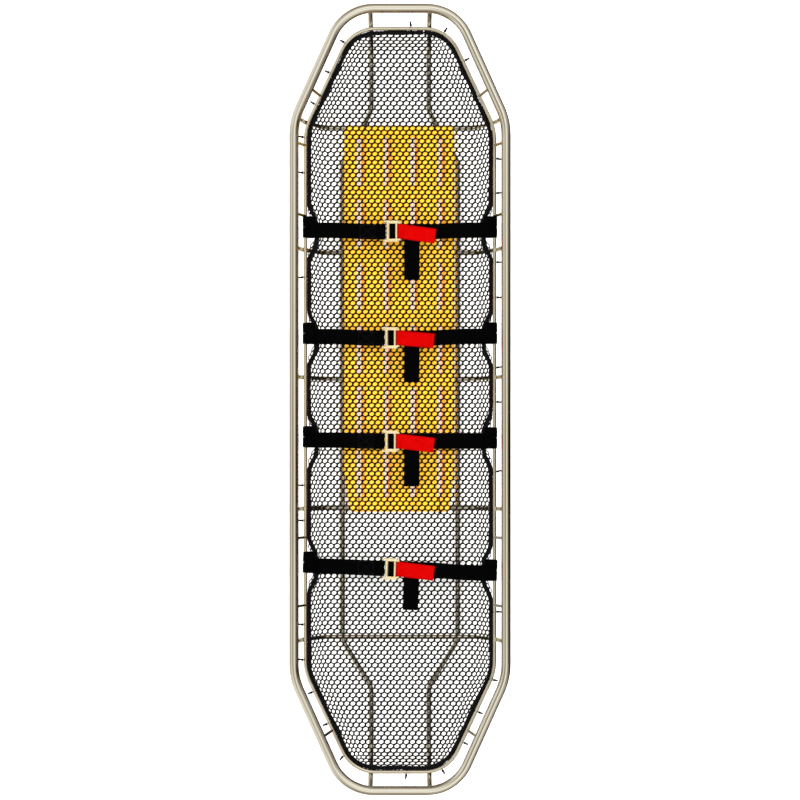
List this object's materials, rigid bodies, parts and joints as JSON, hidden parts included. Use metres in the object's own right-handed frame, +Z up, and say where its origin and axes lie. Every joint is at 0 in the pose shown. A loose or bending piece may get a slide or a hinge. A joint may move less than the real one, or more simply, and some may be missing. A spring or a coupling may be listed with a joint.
{
  "type": "basket rescue litter",
  "caption": "Basket rescue litter: steel tube rail, U-shaped ribs and runners, black net lining, yellow back panel and patient straps with cam buckles.",
  "frame": {"origin": "on the ground under the middle of the litter", "axes": "+Y towards the head end, +Z up, +X to the right when seen from above with the head end away"},
  "size_m": [0.597, 2.134, 0.19],
  "materials": {
    "rail_steel": "polished stainless tube",
    "rod_steel": "drawn stainless rod, lightly dulled",
    "panel_yellow": "moulded polyethylene",
    "net_black": "extruded plastic mesh",
    "cord_black": "braided cord",
    "tie_black": "nylon",
    "webbing_black": "woven nylon webbing",
    "buckle_zinc": "yellow-passivated zinc plate",
    "pin_steel": "turned",
    "tab_red": "woven nylon webbing"
  },
  "bodies": {
    "litter": {"top_rail_head": "rail_steel", "top_rail_foot": "rail_steel", "rail_sleeves": "rail_steel", "net_rail_head": "rod_steel", "net_rail_foot": "rod_steel", "rib_1": "rod_steel", "rib_2": "rod_steel", "rib_3": "rod_steel", "rib_4": "rod_steel", "rib_5": "rod_steel", "runner_left": "rod_steel", "runner_right": "rod_steel", "rail_struts": "rod_steel", "back_panel": "panel_yellow", "panel_ties": "cord_black", "net": "net_black", "net_edge_cord": "cord_black", "net_ties": "tie_black", "webbing_left_1": "webbing_black", "webbing_right_1": "webbing_black", "buckle_frame_1": "buckle_zinc", "pivot_pin_1": "pin_steel", "lever_spring_1": "pin_steel", "webbing_left_2": "webbing_black", "webbing_right_2": "webbing_black", "buckle_frame_2": "buckle_zinc", "pivot_pin_2": "pin_steel", "lever_spring_2": "pin_steel", "webbing_left_3": "webbing_black", "webbing_right_3": "webbing_black", "buckle_frame_3": "buckle_zinc", "pivot_pin_3": "pin_steel", "lever_spring_3": "pin_steel", "webbing_left_4": "webbing_black", "webbing_right_4": "webbing_black", "buckle_frame_4": "buckle_zinc", "pivot_pin_4": "pin_steel", "lever_spring_4": "pin_steel"},
    "lever_1": {"cam_lever_1": "buckle_zinc", "release_tab_1": "tab_red"},
    "lever_2": {"cam_lever_2": "buckle_zinc", "release_tab_2": "tab_red"},
    "lever_3": {"cam_lever_3": "buckle_zinc", "release_tab_3": "tab_red"},
    "lever_4": {"cam_lever_4": "buckle_zinc", "release_tab_4": "tab_red"}
  },
  "joints": [
    {"name": "lever_1_lift", "type": "hinge", "parent": "litter", "child": "lever_1", "pos_m": [-0.033, 0.459, 0.1301], "axis": [0, -1, 0], "range_deg": [0, 60], "stiffness_Nm_per_rad": 0.06, "springref_deg": -22.92},
    {"name": "lever_2_lift", "type": "hinge", "parent": "litter", "child": "lever_2", "pos_m": [-0.037, 0.169, 0.1301], "axis": [0, -1, 0], "range_deg": [0, 60], "stiffness_Nm_per_rad": 0.06, "springref_deg": -22.92},
    {"name": "lever_3_lift", "type": "hinge", "parent": "litter", "child": "lever_3", "pos_m": [-0.037, -0.112, 0.1301], "axis": [0, -1, 0], "range_deg": [0, 60], "stiffness_Nm_per_rad": 0.06, "springref_deg": -22.92},
    {"name": "lever_4_lift", "type": "hinge", "parent": "litter", "child": "lever_4", "pos_m": [-0.03698, -0.45884, 0.1301], "axis": [-0.0314, -0.9995, 0], "range_deg": [0, 60], "stiffness_Nm_per_rad": 0.06, "springref_deg": -22.92}
  ]
}
